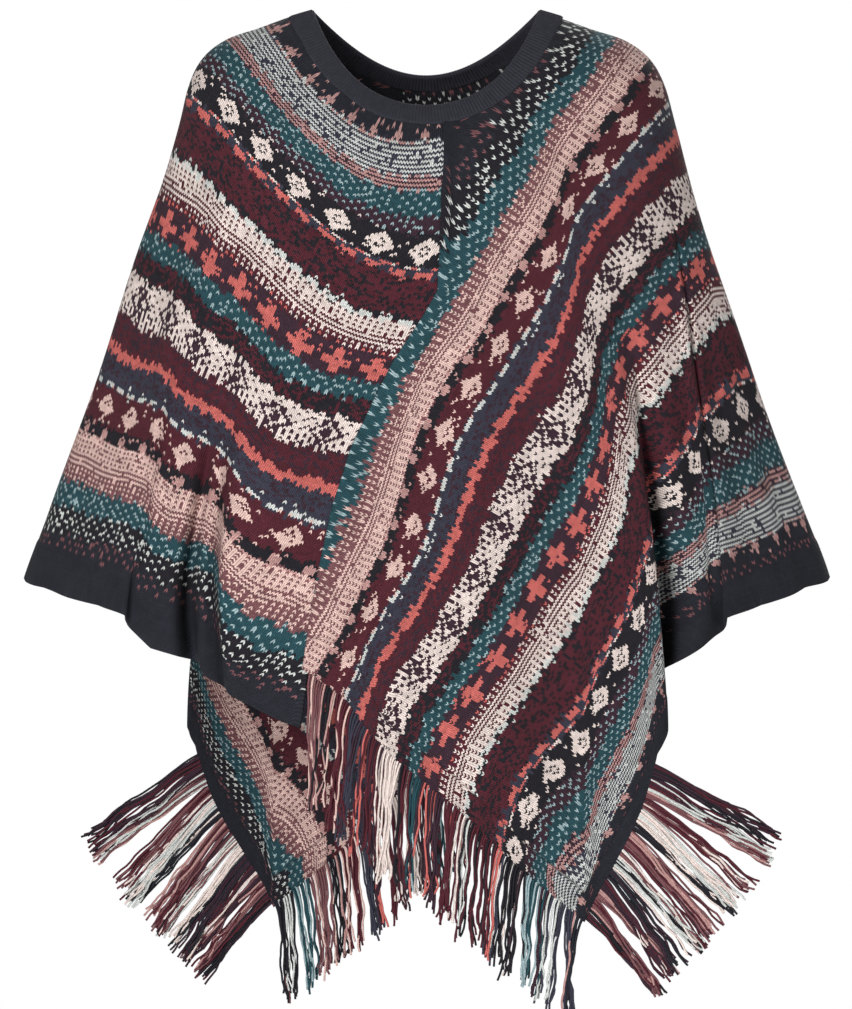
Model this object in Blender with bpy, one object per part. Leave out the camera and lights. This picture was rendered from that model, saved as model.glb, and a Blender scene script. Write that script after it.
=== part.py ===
"""Knitted poncho sweater, worn: two fringed strips joined at the front and back seams, and a ribbed neckband.

Metres, +Z up. The origin is the middle of the neck opening, level with the points that rest on the shoulders.
+X is the wearer's left, -Y is the front. Angles run round the garment from the front centre towards +X.
"""

import math
from collections import namedtuple

import bpy
import numpy as np

for old in list(bpy.data.objects):
    bpy.data.objects.remove(old, do_unlink=True)

# Driving dimensions
WALL = 0.0022  # knitted cloth
HEM_WALL = 0.0030  # the cloth turned up and sewn along the outer edge
HEM_DEPTH = 0.026
SEAM_GAP = 0.0004
SEAM_RISE = 0.0012  # the front strip's edge stands proud of the one it is sewn to
NECK_GAP = 0.0009  # strips to neckband, so that straight facets stay clear of each other on the tight curve
BAND_WALL = 0.0030  # the neckband is doubled
RIBS = 150
RIB_RISE = 0.0009
STRAND = 0.0030  # a bundle of yarns
BACKING_DEPTH = 0.0050  # the last rows of knitting, which the strands hang from
BACKING_GAP = 0.0005
SEAM_MARGIN = 0.008  # keeps the first strands beside the other strip's corner
END_STRANDS = 40
SIDE_STRANDS = 22
END_FRINGE = (0.114, 0.092)  # strand length at the start and at the end of each fringed stretch
SIDE_FRINGE = (0.094, 0.118)
END_DROOP = (9.0, 9.0)  # how far strands turn down from square to the edge
SIDE_DROOP = (0.52, 0.28)
ROW_COUNT = 16  # rows of points from the neck to the turned hem

# The garment's rings from neck to hem: half width, reach to front and back, height at side, front and back, and
# how early the front falls away from the side, where 1 is a parabola.
Ring = namedtuple("Ring", "half_width front back side_z front_z back_z fall")
RINGS = (
    Ring(0.1020, 0.0880, 0.0720, 0.000, -0.089, -0.055, 1.8),  # neck edge
    Ring(0.1220, 0.1010, 0.0890, -0.006, -0.105, -0.066, 1.7),  # neck seam
    Ring(0.1500, 0.1130, 0.1040, -0.016, -0.127, -0.083, 1.3),
    Ring(0.1790, 0.1210, 0.1150, -0.026, -0.153, -0.108, 1.0),  # shoulder
    Ring(0.2000, 0.1270, 0.1230, -0.042, -0.182, -0.139, 0.8),  # shoulder point
    Ring(0.2130, 0.1320, 0.1290, -0.066, -0.213, -0.173, 0.7),
    Ring(0.2230, 0.1360, 0.1340, -0.104, -0.247, -0.213, 0.7),  # upper arm
    Ring(0.2385, 0.1395, 0.1375, -0.160, -0.288, -0.260, 0.7),
    Ring(0.2620, 0.1430, 0.1410, -0.232, -0.337, -0.315, 0.7),  # elbow
    Ring(0.2980, 0.1470, 0.1455, -0.340, -0.400, -0.390, 0.7),
    Ring(0.3380, 0.1510, 0.1500, -0.448, -0.470, -0.466, 0.7),
    Ring(0.3640, 0.1540, 0.1530, -0.520, -0.524, -0.523, 0.7),  # sleeve tips
    Ring(0.3780, 0.1560, 0.1560, -0.600, -0.600, -0.600, 0.7),
    Ring(0.3830, 0.1570, 0.1570, -0.700, -0.700, -0.700, 0.7),
    Ring(0.3830, 0.1560, 0.1560, -0.840, -0.840, -0.840, 0.7),
)
BACK_FALL = 0.8
FIRST_LEVEL = 1.0  # the strips start at the neck seam

# Folds of the front half, which the back half repeats half way round: angle where each starts and where it meets
# the hem, half its span, height of a plain ridge, depth in front and at the back and lean of a fold that lies
# over itself, and the rows of RINGS between which it grows.
Fold = namedtuple("Fold", "start_deg hem_deg span_deg ridge depth back_depth lean first_ring full_ring")
HALF_FOLDS = (
    Fold(10.0, 9.0, 9.0, 0.005, 0.000, 0.000, 0.000, 8.0, 13.0),
    Fold(41.0, 33.0, 11.0, 0.000, 0.024, -0.024, 0.030, 7.3, 11.8),  # panel lapped over the arm, inside at the back
    Fold(61.0, 45.0, 9.0, 0.004, -0.014, -0.014, 0.008, 7.2, 11.2),  # the arm's front
    Fold(74.0, 71.0, 9.0, -0.004, 0.000, 0.000, 0.000, 7.0, 10.5),
    Fold(108.0, 112.0, 8.0, -0.004, 0.000, 0.000, 0.000, 7.0, 10.5),
    Fold(124.0, 134.5, 8.0, 0.003, 0.010, 0.010, 0.007, 7.2, 11.0),  # the other arm's front
    Fold(140.0, 146.5, 7.0, -0.009, 0.000, 0.000, 0.000, 7.2, 11.0),
)

# The front seam's angle at heights down the front; the back seam is half way round from it.
SEAM_Z = (-0.105, -0.130, -0.165, -0.254, -0.274, -0.298, -0.320, -0.345, -0.395, -0.448, -0.544, -0.640)
SEAM_DEG = (7.6, 6.3, 4.4, 2.8, -0.1, -3.7, -6.6, -8.9, -12.7, -14.6, -15.9, -17.6)

# A strip's lower edge, as degrees from its seam and height. The fringed end runs from the seam to the corner,
# the turned outer edge from the corner, round the arm, to the other seam.
Edge = namedtuple("Edge", "deg z")
FRINGED_END = (Edge(0.0, -0.588), Edge(6.0, -0.612), Edge(12.8, -0.664), Edge(21.5, -0.709), Edge(30.0, -0.764),
               Edge(39.0, -0.811))
OUTER_EDGE = (Edge(39.0, -0.811), Edge(42.3, -0.768), Edge(43.9, -0.737), Edge(45.0, -0.710), Edge(46.5, -0.661),
              Edge(50.5, -0.622), Edge(55.0, -0.591), Edge(59.0, -0.564), Edge(63.0, -0.545), Edge(72.0, -0.533),
              Edge(88.0, -0.520), Edge(107.0, -0.514), Edge(126.0, -0.520), Edge(145.0, -0.533),
              Edge(152.0, -0.543), Edge(157.0, -0.569), Edge(163.0, -0.579), Edge(170.0, -0.609),
              Edge(175.0, -0.625), Edge(180.0, -0.639))
CORNER_DEG = FRINGED_END[-1].deg
SIDE_FRINGE_END_DEG = 46.8
LOW_ROW_Z = -0.550  # the last row of facets but one, where both strips meet at a seam


def between_rows(table, level):
    """The columns of a table at a level between its rows, on a smooth curve through them."""
    rows = np.array(table)
    level = np.clip(level, 0.0, len(rows) - 1.001)
    row = np.floor(level).astype(int)
    part = (level - row)[..., None]
    before = rows[np.maximum(row - 1, 0)]
    start = rows[row]
    end = rows[row + 1]
    after = rows[np.minimum(row + 2, len(rows) - 1)]
    leave = (end - before) / 2
    arrive = (after - start) / 2
    square = part * part
    cube = square * part
    return ((2 * cube - 3 * square + 1) * start + (cube - 2 * square + part) * leave
            + (3 * square - 2 * cube) * end + (cube - square) * arrive)


def smooth_step(value):
    value = np.clip(value, 0.0, 1.0)
    return value * value * (3 - 2 * value)


def fold_deg(fold, level):
    """Angle of a fold's centre at a level."""
    grown = smooth_step((level - fold.first_ring) / (fold.full_ring - fold.first_ring))
    return fold.start_deg + (fold.hem_deg - fold.start_deg) * grown


def garment(angle_deg, level):
    """Points of the cloth's middle at an angle round the garment and a level from neck to hem."""
    angle = np.radians(angle_deg)
    width, front, back, side_z, front_z, back_z, front_fall = np.moveaxis(between_rows(RINGS, level), -1, 0)
    ahead = np.cos(angle) >= 0
    reach = np.where(ahead, front, back)
    inward = np.abs(np.cos(angle))
    fall = np.where(ahead, front_fall, BACK_FALL)
    dip = inward ** 2 * (fall + (1 - fall) * inward)
    height = side_z + (np.where(ahead, front_z, back_z) - side_z) * dip
    points = np.stack([width * np.sin(angle), -reach * np.cos(angle), height], -1)
    along = np.stack([width * np.cos(angle), reach * np.sin(angle), np.zeros_like(height)], -1)
    along /= np.linalg.norm(along, axis=-1, keepdims=True)
    outward = np.stack([along[..., 1], -along[..., 0], np.zeros_like(height)], -1)
    for fold in HALF_FOLDS:
        down = smooth_step((level - fold.first_ring) / (fold.full_ring - fold.first_ring))
        from_centre = angle_deg - fold_deg(fold, level)
        across = ((from_centre + 90) % 180 - 90) / fold.span_deg
        depth = np.where((from_centre + 90) % 360 < 180, fold.depth, fold.back_depth)
        across = np.clip(across, -1.0, 1.0) * math.pi
        hump = (1 + np.cos(across)) / 2
        swing = -np.sin(across) * (1 + np.cos(across)) / 1.3
        points += outward * (down * (fold.ridge * hump + depth / 2 * swing))[..., None]
        points += along * (down * fold.lean * swing)[..., None]
    return points


def level_at(height):
    """The level of the front ring at a height; low rings are flat, so it holds all round there."""
    levels = np.linspace(0.0, len(RINGS) - 1.001, 400)
    heights = between_rows(RINGS, levels)[:, 4]
    return np.interp(-np.asarray(height), -heights, levels)


def seam_deg(level):
    """Angle of the front seam at a level."""
    height = between_rows(RINGS, level)[..., 4]
    return np.interp(-height, [-z for z in SEAM_Z], SEAM_DEG)


def directions(angle_deg, level):
    """Unit directions along the ring, down the cloth and out of it, at points of the garment."""
    small = 0.05
    along = garment(angle_deg + small, level) - garment(angle_deg - small, level)
    down = garment(angle_deg, level + small) - garment(angle_deg, level - small)
    outward = np.cross(down, along)
    return [way / np.linalg.norm(way, axis=-1, keepdims=True) for way in (along, down, outward)]


def material(name, colour, roughness):
    made = bpy.data.materials.new(name)
    made.use_nodes = True
    shader = made.node_tree.nodes["Principled BSDF"]
    shader.inputs["Base Color"].default_value = (*colour, 1.0)
    shader.inputs["Roughness"].default_value = roughness
    shader.inputs["Metallic"].default_value = 0.0
    return made


def add_object(name, points, faces, finish):
    mesh = bpy.data.meshes.new(name)
    mesh.from_pydata([tuple(point) for point in points], [], faces)
    mesh.materials.append(finish)
    mesh.shade_smooth()
    mesh.set_sharp_from_angle(angle=math.radians(50))
    made = bpy.data.objects.new(name, mesh)
    bpy.context.scene.collection.objects.link(made)
    return made


def wall_faces(rows, columns, closed):
    """Triangles of a wall: an outer grid, then an inner grid of as many points, and the rims between them."""
    inner = rows * columns
    faces = []
    last = columns if closed else columns - 1

    def quad(a, b, c, d):
        faces.append((a, b, c))
        faces.append((a, c, d))

    for row in range(rows - 1):
        for column in range(last):
            here = row * columns + column
            beside = row * columns + (column + 1) % columns
            quad(here, here + columns, beside + columns, beside)
            quad(inner + here, inner + beside, inner + beside + columns, inner + here + columns)
    for column in range(last):
        beside = (column + 1) % columns
        bottom = (rows - 1) * columns
        quad(column, beside, inner + beside, inner + column)
        quad(bottom + beside, bottom + column, inner + bottom + column, inner + bottom + beside)
    if not closed:
        for row in range(rows - 1):
            start = row * columns
            end = start + columns - 1
            quad(start + columns, start, inner + start, inner + start + columns)
            quad(end, end + columns, inner + end + columns, inner + end)
    return faces


def strip_columns():
    """Degrees from the seam of a strip's columns, closer together where the folds are."""
    return np.concatenate([
        np.linspace(0.0, CORNER_DEG, 9)[:-1],
        np.linspace(CORNER_DEG, 72.0, 22)[:-1],
        np.linspace(72.0, 107.0, 6)[:-1],
        np.linspace(107.0, 142.0, 5)[:-1],
        np.linspace(142.0, 180.0, 14),
    ])


def lower_edge(columns):
    """Heights of a strip's lower edge at degrees from its seam."""
    outer_deg, outer_z = zip(*OUTER_EDGE)
    end_deg, end_z = zip(*FRINGED_END)
    end = np.interp(columns, end_deg, end_z)
    outer = np.interp(columns, outer_deg, outer_z)
    return np.where(columns < CORNER_DEG, end, outer)


def column_angles(columns, levels):
    """Angles at one row of levels for columns given as degrees from the seam at the hem: each column keeps its
    place between the seams and the folds, which drift as they run down."""
    at_hem = [SEAM_DEG[-1]] + [fold.hem_deg for fold in HALF_FOLDS] + [SEAM_DEG[-1] + 180.0]
    here = [seam_deg(levels)] + [fold_deg(fold, levels) for fold in HALF_FOLDS] + [seam_deg(levels) + 180.0]
    place = columns + SEAM_DEG[-1]
    angles = np.zeros(len(columns))
    for start, end, start_here, end_here in zip(at_hem, at_hem[1:], here, here[1:]):
        inside = (place >= start) & (place <= end)
        along = (place - start) / (end - start)
        angles = np.where(inside, start_here + (end_here - start_here) * along, angles)
    return angles


def strip_grid(turn_deg):
    """Angles and levels of a strip: rows from neck to hem, columns from its seam half way round the garment."""
    columns = strip_columns()
    hem_z = lower_edge(columns)
    from_seam = smooth_step((np.minimum(columns, 180.0 - columns) - 2.0) / 10.0)
    low_z = LOW_ROW_Z + (hem_z + HEM_DEPTH - LOW_ROW_Z) * from_seam
    rows = np.linspace(0.0, 1.0, ROW_COUNT)[:, None]
    levels = np.concatenate([FIRST_LEVEL + (level_at(low_z) - FIRST_LEVEL) * rows, level_at(hem_z)[None, :]])
    angles = np.stack([column_angles(columns, row) for row in levels])
    return angles + turn_deg, levels


def build_strip(name, turn_deg, finish):
    """A strip as a wall, thicker along its turned hem and a seam's gap short of its neighbours. Also returns the
    middle and the outward directions of its lower edge."""
    angles, levels = strip_grid(turn_deg)
    points = garment(angles, levels)
    along, down, normals = directions(angles, levels)
    points[0] += down[0] * NECK_GAP
    points[:, 0] += along[:, 0] * SEAM_GAP / 2 + normals[:, 0] * SEAM_RISE
    points[:, -1] -= along[:, -1] * SEAM_GAP / 2
    thickness = np.full(levels.shape, WALL)
    thickness[-1, strip_columns() > CORNER_DEG] = HEM_WALL
    outer = points + normals * (thickness - WALL / 2)[..., None]
    inner = points - normals * WALL / 2
    rows, columns = levels.shape
    grid = np.concatenate([outer.reshape(-1, 3), inner.reshape(-1, 3)])
    add_object(name, grid, wall_faces(rows, columns, False), finish)
    return (outer[-1] + inner[-1]) / 2, normals[-1]


def build_neckband(finish):
    """The doubled, ribbed band: ribs stand on its outer face only."""
    columns = 2 * RIBS
    angles = np.linspace(0.0, 360.0, columns, endpoint=False) + np.zeros((2, 1))
    levels = np.array([0.0, FIRST_LEVEL])[:, None] + np.zeros(columns)
    points = garment(angles, levels)
    normals = directions(angles, levels + 0.06)[2]
    ribs = np.where(np.arange(columns) % 2 == 0, RIB_RISE, 0.0)
    outer = points + normals * (BAND_WALL / 2 + ribs)[None, :, None]
    inner = points - normals * BAND_WALL / 2
    grid = np.concatenate([outer.reshape(-1, 3), inner.reshape(-1, 3)])
    add_object("neckband", grid, wall_faces(2, columns, True), finish)


def strand_rings(root, along, fall, hang, length, sway):
    """Cross-sections of one strand below its root: it leaves along fall and turns to hang."""
    rings = []
    centre = root
    reached = 0.0
    for share, width in ((0.10, 0.95), (0.55, 0.85), (1.00, 0.60)):
        turned = smooth_step((reached + share) / 2 / 0.08)
        heading = fall * (1 - turned) + hang * turned
        heading /= np.linalg.norm(heading)
        centre = centre + heading * length * (share - reached)
        reached = share
        side = along - heading * (along @ heading)
        side /= np.linalg.norm(side)
        face = np.cross(heading, side)
        middle = centre + (side * math.sin(sway + 4.0 * share) + face * math.cos(1.7 * sway)) * 0.0016 * share
        half = STRAND / 2 * width
        rings.append([middle - side * half + face * half, middle + side * half + face * half,
                      middle + side * half - face * half, middle - side * half - face * half])
    return rings


def build_fringe(name, edge, outward, start_margin, strands, length, droop, spread, finish):
    """Strands hung from a narrow backing that follows a stretch of the strip's lower edge. droop turns the
    strands down from the edge's own direction, at the start and at the end of the stretch."""
    steps = np.linalg.norm(np.diff(edge, axis=0), axis=1)
    reach = np.concatenate([[0.0], np.cumsum(steps)])
    first = start_margin
    last = reach[-1] - STRAND
    roots = np.linspace(first + STRAND, last - STRAND, strands)
    stations = np.concatenate([[first], np.ravel(np.stack([roots - STRAND / 2, roots + STRAND / 2], 1)), [last]])

    def at(values, distances):
        return np.stack([np.interp(distances, reach, values[:, axis]) for axis in range(3)], -1)

    spine = at(edge, stations)
    along = np.gradient(edge, axis=0)
    along /= np.linalg.norm(along, axis=1, keepdims=True)
    along = at(along, stations)
    face = at(outward, stations)
    fall = np.cross(along, face)
    fall /= np.linalg.norm(fall, axis=1, keepdims=True)
    half = WALL / 2
    top = spine + fall * BACKING_GAP
    bottom = top + fall * BACKING_DEPTH
    corners = np.stack([top + face * half, top - face * half, bottom + face * half, bottom - face * half], 1)
    points = list(corners.reshape(-1, 3))
    faces = [(1, 3, 2, 0)]
    count = len(stations)
    for station in range(count - 1):
        here = 4 * station
        beside = here + 4
        faces.append((here, here + 2, beside + 2, beside))
        faces.append((beside + 1, beside + 3, here + 3, here + 1))
        faces.append((here, beside, beside + 1, here + 1))
        if station % 2 == 0:
            faces.append((here + 3, beside + 3, beside + 2, here + 2))
            continue
        strand = station // 2
        place = strand / (strands - 1)
        middle = (bottom[station] + bottom[station + 1]) / 2
        heading = fall[station] + np.array([0.0, 0.0, -1.0]) * (droop[0] + (droop[1] - droop[0]) * place)
        heading += along[station] * spread * math.sin(2.4 * strand)
        heading[1] *= 0.35  # they fan out beside the body, not across it
        heading /= np.linalg.norm(heading)
        own_length = (length[0] + (length[1] - length[0]) * place) * (1.0 + 0.07 * math.sin(5.3 * strand + 1.0))
        rings = strand_rings(middle, along[station], fall[station], heading, own_length, 0.9 * strand)
        ring = [here + 2, beside + 2, beside + 3, here + 3]
        for section in rings:
            below = list(range(len(points), len(points) + 4))
            points.extend(section)
            for corner in range(4):
                following = (corner + 1) % 4
                faces.append((ring[corner], below[corner], below[following], ring[following]))
            ring = below
        faces.append(tuple(reversed(ring)))
    last = 4 * (count - 1)
    faces.append((last, last + 2, last + 3, last + 1))
    add_object(name, np.array(points), faces, finish)


charcoal = material("ribbed_charcoal", (0.030, 0.031, 0.040), 0.85)
knit_left = material("banded_knit_left", (0.100, 0.085, 0.100), 0.9)
knit_right = material("banded_knit_right", (0.135, 0.060, 0.075), 0.9)
yarn = material("fringe_yarn", (0.300, 0.180, 0.190), 0.9)

build_neckband(charcoal)
corner = int(np.argmin(np.abs(strip_columns() - CORNER_DEG)))
side_end = int(np.argmin(np.abs(strip_columns() - SIDE_FRINGE_END_DEG)))
for side, place, turn_deg, knit in (("left", "front", 0.0, knit_left), ("right", "back", 180.0, knit_right)):
    edge, outward = build_strip(f"strip_{side}", turn_deg, knit)
    build_fringe(f"end_fringe_{place}", edge[:corner + 1], outward[:corner + 1], SEAM_MARGIN,
                 END_STRANDS, END_FRINGE, END_DROOP, 0.30, yarn)
    build_fringe(f"side_fringe_{place}", edge[corner:side_end + 1], outward[corner:side_end + 1], STRAND,
                 SIDE_STRANDS, SIDE_FRINGE, SIDE_DROOP, 0.05, yarn)
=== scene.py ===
"""Knitted wrap poncho sweater, filled out as worn, with a studio round it."""

import math
from collections import namedtuple

import bpy
import numpy as np
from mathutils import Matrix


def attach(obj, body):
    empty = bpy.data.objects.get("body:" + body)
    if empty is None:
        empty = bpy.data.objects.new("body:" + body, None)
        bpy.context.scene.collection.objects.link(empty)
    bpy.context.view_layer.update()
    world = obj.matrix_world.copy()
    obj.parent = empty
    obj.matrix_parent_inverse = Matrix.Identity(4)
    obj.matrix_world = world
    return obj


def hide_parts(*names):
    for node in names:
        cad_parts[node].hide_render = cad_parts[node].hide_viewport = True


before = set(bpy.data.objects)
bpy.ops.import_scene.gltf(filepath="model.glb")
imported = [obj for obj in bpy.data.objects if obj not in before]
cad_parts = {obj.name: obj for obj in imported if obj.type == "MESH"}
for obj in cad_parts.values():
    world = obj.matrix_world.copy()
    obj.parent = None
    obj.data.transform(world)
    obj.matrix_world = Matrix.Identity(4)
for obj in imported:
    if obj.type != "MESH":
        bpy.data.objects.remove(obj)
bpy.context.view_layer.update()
scene = bpy.context.scene

# Camera: level with the middle of the garment and straight in front of it, far away with a long lens, so that
# near and far parts of the garment keep their sizes.
CAMERA_DISTANCE = 8.0
VIEW_CENTRE_Z = -0.443
VIEW_WIDTH = 0.7668  # what the frame takes in at the garment's middle plane

camera_data = bpy.data.cameras.new("camera")
camera_data.sensor_fit = "HORIZONTAL"
camera_data.sensor_width = 36.0
camera_data.lens = camera_data.sensor_width * CAMERA_DISTANCE / VIEW_WIDTH
camera_data.clip_end = 60.0
camera = bpy.data.objects.new("camera", camera_data)
camera.location = (0.0, -CAMERA_DISTANCE, VIEW_CENTRE_Z)
camera.rotation_euler = (math.pi / 2, 0.0, 0.0)
scene.collection.objects.link(camera)
scene.camera = camera

# Studio: a wide pale floor as far below the neck as the wearer is tall to the shoulder, pale surroundings
# that throw less light from the garment's front than from behind it, and three large soft lamps.
FLOOR_Z = -1.42
FLOOR_HALF = 5.0
FLOOR_COLOUR = (0.82, 0.82, 0.81, 1.0)
SURROUND = (1.0, 1.0, 1.0, 1.0)
FRONT_STRENGTH = 0.30  # of the surroundings' light, all over the front half
BACK_STRENGTH = 0.93
FULL_BEHIND = 0.8  # how far round to the back, 1 being straight behind, they have reached it
Lamp = namedtuple("Lamp", "name place size power")
LAMPS = (
    Lamp("key_lamp", (-1.6, -4.2, 0.5), 1.7, 299.0),
    Lamp("fill_lamp", (3.0, -3.2, 0.0), 2.6, 56.0),
    Lamp("back_lamp", (0.8, 3.4, 2.0), 2.4, 200.0),
)


def reckoning(operation, turned=False):
    """What an arithmetic sign does with a wire and another value, in the other order where turned."""
    def reckon(wire, other):
        return wire.math(operation, other, wire) if turned else wire.math(operation, wire, other)
    return reckon


class Wire:
    """A node's output, or none at the start of a tree, that takes part in Python arithmetic."""

    __add__ = __radd__ = reckoning("ADD")
    __sub__ = reckoning("SUBTRACT")
    __rsub__ = reckoning("SUBTRACT", turned=True)
    __mul__ = __rmul__ = reckoning("MULTIPLY")
    __truediv__ = reckoning("DIVIDE")
    __mod__ = reckoning("FLOORED_MODULO")
    __lt__ = reckoning("LESS_THAN")
    __gt__ = reckoning("GREATER_THAN")

    def __init__(self, tree, socket=None):
        self.tree = tree
        self.socket = socket

    def node(self, kind, settings=None, inputs=None, output=0):
        """A new node: its settings are set first, then values or links of its inputs by name or number."""
        made = self.tree.nodes.new(kind)
        for name, value in (settings or {}).items():
            if name == "stops":
                for place, colour in value:
                    stop = made.color_ramp.elements.new(place)
                    stop.color = colour
                made.color_ramp.elements.remove(made.color_ramp.elements[0])
                made.color_ramp.elements.remove(made.color_ramp.elements[-1])
                made.color_ramp.interpolation = "CONSTANT"
            else:
                setattr(made, name, value)
        for name, value in (inputs or {}).items():
            if isinstance(value, Wire):
                self.tree.links.new(value.socket, made.inputs[name])
            else:
                made.inputs[name].default_value = value
        return Wire(self.tree, made.outputs[output])

    def math(self, operation, *values):
        return self.node("ShaderNodeMath", {"operation": operation}, dict(enumerate(values)))

    def __abs__(self):
        return self.math("ABSOLUTE", self)

    def floor(self):
        return self.math("FLOOR", self)

    def parts(self):
        """The three components of a vector."""
        split = self.node("ShaderNodeSeparateXYZ", inputs={0: self}).socket.node
        return [Wire(self.tree, socket) for socket in split.outputs]

    def vector(self, x, y, z=0.0):
        return self.node("ShaderNodeCombineXYZ", inputs={0: x, 1: y, 2: z})

    def mix(self, share, one, other):
        """A colour between two colours."""
        return self.node("ShaderNodeMix", {"data_type": "RGBA"}, {0: share, 6: one, 7: other}, output=2)

    def scaled(self, factor):
        """A vector made longer or shorter, or a colour lighter or darker."""
        return self.node("ShaderNodeVectorMath", {"operation": "SCALE"}, {0: self, "Scale": factor})


floor_mesh = bpy.data.meshes.new("floor")
floor_corners = [(FLOOR_HALF * x, FLOOR_HALF * y, FLOOR_Z) for x, y in ((-1, -1), (1, -1), (1, 1), (-1, 1))]
floor_mesh.from_pydata(floor_corners, [], [(0, 1, 2, 3)])
floor_paint = bpy.data.materials.new("floor_paint")
floor_paint.use_nodes = True
floor_shader = floor_paint.node_tree.nodes["Principled BSDF"]
floor_shader.inputs["Base Color"].default_value = FLOOR_COLOUR
floor_shader.inputs["Roughness"].default_value = 0.8
floor_mesh.materials.append(floor_paint)
floor = bpy.data.objects.new("floor", floor_mesh)
scene.collection.objects.link(floor)

surround = bpy.data.worlds.new("surround")
surround.use_nodes = True
sky = Wire(surround.node_tree)
behind = sky.node("ShaderNodeTexCoord").parts()[1]
brightness = sky.node("ShaderNodeMapRange", {"interpolation_type": "SMOOTHSTEP"}, {
    "Value": behind, "From Min": 0.0, "From Max": FULL_BEHIND,
    "To Min": FRONT_STRENGTH, "To Max": BACK_STRENGTH})
seen = sky.math("MAXIMUM", brightness, sky.node("ShaderNodeLightPath"))  # white for the camera
background = surround.node_tree.nodes["Background"]
background.inputs["Color"].default_value = SURROUND
surround.node_tree.links.new(seen.socket, background.inputs["Strength"])
scene.world = surround
scene.view_settings.view_transform = "Standard"

for lamp in LAMPS:
    lamp_data = bpy.data.lights.new(lamp.name, "AREA")
    lamp_data.shape = "DISK"
    lamp_data.size = lamp.size
    lamp_data.energy = lamp.power
    lamp_object = bpy.data.objects.new(lamp.name, lamp_data)
    lamp_object.location = lamp.place
    aim = np.array([0.0, 0.0, VIEW_CENTRE_Z]) - np.array(lamp.place)
    lamp_object.rotation_euler = (
        math.atan2(math.hypot(aim[0], aim[1]), -aim[2]), 0.0, math.atan2(aim[0], -aim[1]) + math.pi)
    scene.collection.objects.link(lamp_object)

# The two strips: long bands of fine multicoloured knit, each over one shoulder. They are sewn edge over edge
# down the front and the back, with the outer edge turned up and sewn flat. Each is a thin shell through rings
# from neck to hem, with folds where the arms push the cloth out and smaller creases placed one by one.
WALL = 0.0022
HEM_EXTRA = 0.0007  # the turned edge is a second layer, pressed flat
HEM_DEPTH = 0.024
HEM_STEP = 0.003  # in which the turned edge comes to its full thickness
SEAM_LAP = 0.0035  # how far one strip's end runs on under the other's edge
SEAM_RISE = 0.0023  # how far that edge is lifted
LAP_WIDTH = 0.014  # cloth beside the seam that gives way to the lap
ROLL = 0.55  # how far the cut edge is rounded, as a share of the thickness
FIRST_LEVEL = 1.0  # the strips start at the neck seam's ring
BODY_ROWS = 104
HEM_ROWS = 11
LOW_ROW_Z = -0.560  # the last row above the hem, at the seams
HEM_ROW_DEG = (2.0, 12.0)  # from a seam: between these it comes to follow the hem
RIPPLES = ((0.0007, 3, 31, 0.0), (0.0005, 11, -19, 1.0))  # height, waves round, turn a metre up, start
SWING_PEAK = 1.3  # what sin x (1 + cos x) reaches
LEVEL_SAMPLES = 400

# Half width, reach to front and back, height at side, front and back, and how early the front falls away.
Ring = namedtuple("Ring", "half_width front back side_z front_z back_z fall")
RINGS = (
    Ring(0.1020, 0.0880, 0.0720, 0.000, -0.089, -0.055, 1.8),  # neck edge
    Ring(0.1220, 0.1010, 0.0890, -0.006, -0.105, -0.066, 1.7),  # neck seam
    Ring(0.1500, 0.1130, 0.1040, -0.016, -0.127, -0.083, 1.3),
    Ring(0.1790, 0.1210, 0.1150, -0.026, -0.153, -0.108, 1.0),  # shoulder
    Ring(0.2000, 0.1270, 0.1230, -0.042, -0.182, -0.139, 0.8),  # shoulder point
    Ring(0.2130, 0.1320, 0.1290, -0.066, -0.213, -0.173, 0.7),
    Ring(0.2230, 0.1360, 0.1340, -0.104, -0.247, -0.213, 0.7),  # upper arm
    Ring(0.2385, 0.1395, 0.1375, -0.160, -0.288, -0.260, 0.7),
    Ring(0.2620, 0.1430, 0.1410, -0.232, -0.337, -0.315, 0.7),  # elbow
    Ring(0.2980, 0.1470, 0.1455, -0.340, -0.400, -0.390, 0.7),
    Ring(0.3380, 0.1510, 0.1500, -0.448, -0.470, -0.466, 0.7),
    Ring(0.3640, 0.1540, 0.1530, -0.520, -0.524, -0.523, 0.7),  # sleeve tips
    Ring(0.3780, 0.1560, 0.1560, -0.600, -0.600, -0.600, 0.7),
    Ring(0.3830, 0.1570, 0.1570, -0.700, -0.700, -0.700, 0.7),
    Ring(0.3830, 0.1560, 0.1560, -0.840, -0.840, -0.840, 0.7),
)
BACK_FALL = 0.8
LAST_LEVEL = len(RINGS) - 1.001  # just short of the last ring, so that there is one beyond it

# Folds of the front half, which the back half repeats: where each starts and meets the hem, half its span,
# height of a plain ridge, depth and lean of a lapped fold in front and at the back, and the rings it grows
# between.
Fold = namedtuple(
    "Fold", "start_deg hem_deg span_deg ridge depth back_depth lean back_lean first_ring full_ring")
HALF_FOLDS = (
    Fold(10.0, 9.0, 9.0, 0.005, 0.000, 0.000, 0.000, 0.000, 8.0, 13.0),
    Fold(41.0, 33.0, 11.0, 0.000, 0.026, -0.024, 0.018, 0.030, 7.3, 11.8),  # panel lapped over the arm
    Fold(61.0, 45.0, 9.0, 0.004, -0.014, -0.014, 0.008, 0.008, 7.2, 11.2),  # the arm's front
    Fold(74.0, 71.0, 9.0, -0.004, 0.000, 0.000, 0.000, 0.000, 7.0, 10.5),
    Fold(108.0, 112.0, 8.0, -0.004, 0.000, 0.000, 0.000, 0.000, 7.0, 10.5),
    Fold(124.0, 134.5, 8.0, 0.003, 0.010, 0.010, 0.007, 0.007, 7.2, 11.0),  # the other arm's front
    Fold(140.0, 146.5, 7.0, -0.009, 0.000, 0.000, 0.000, 0.000, 7.2, 11.0),
)

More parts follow.
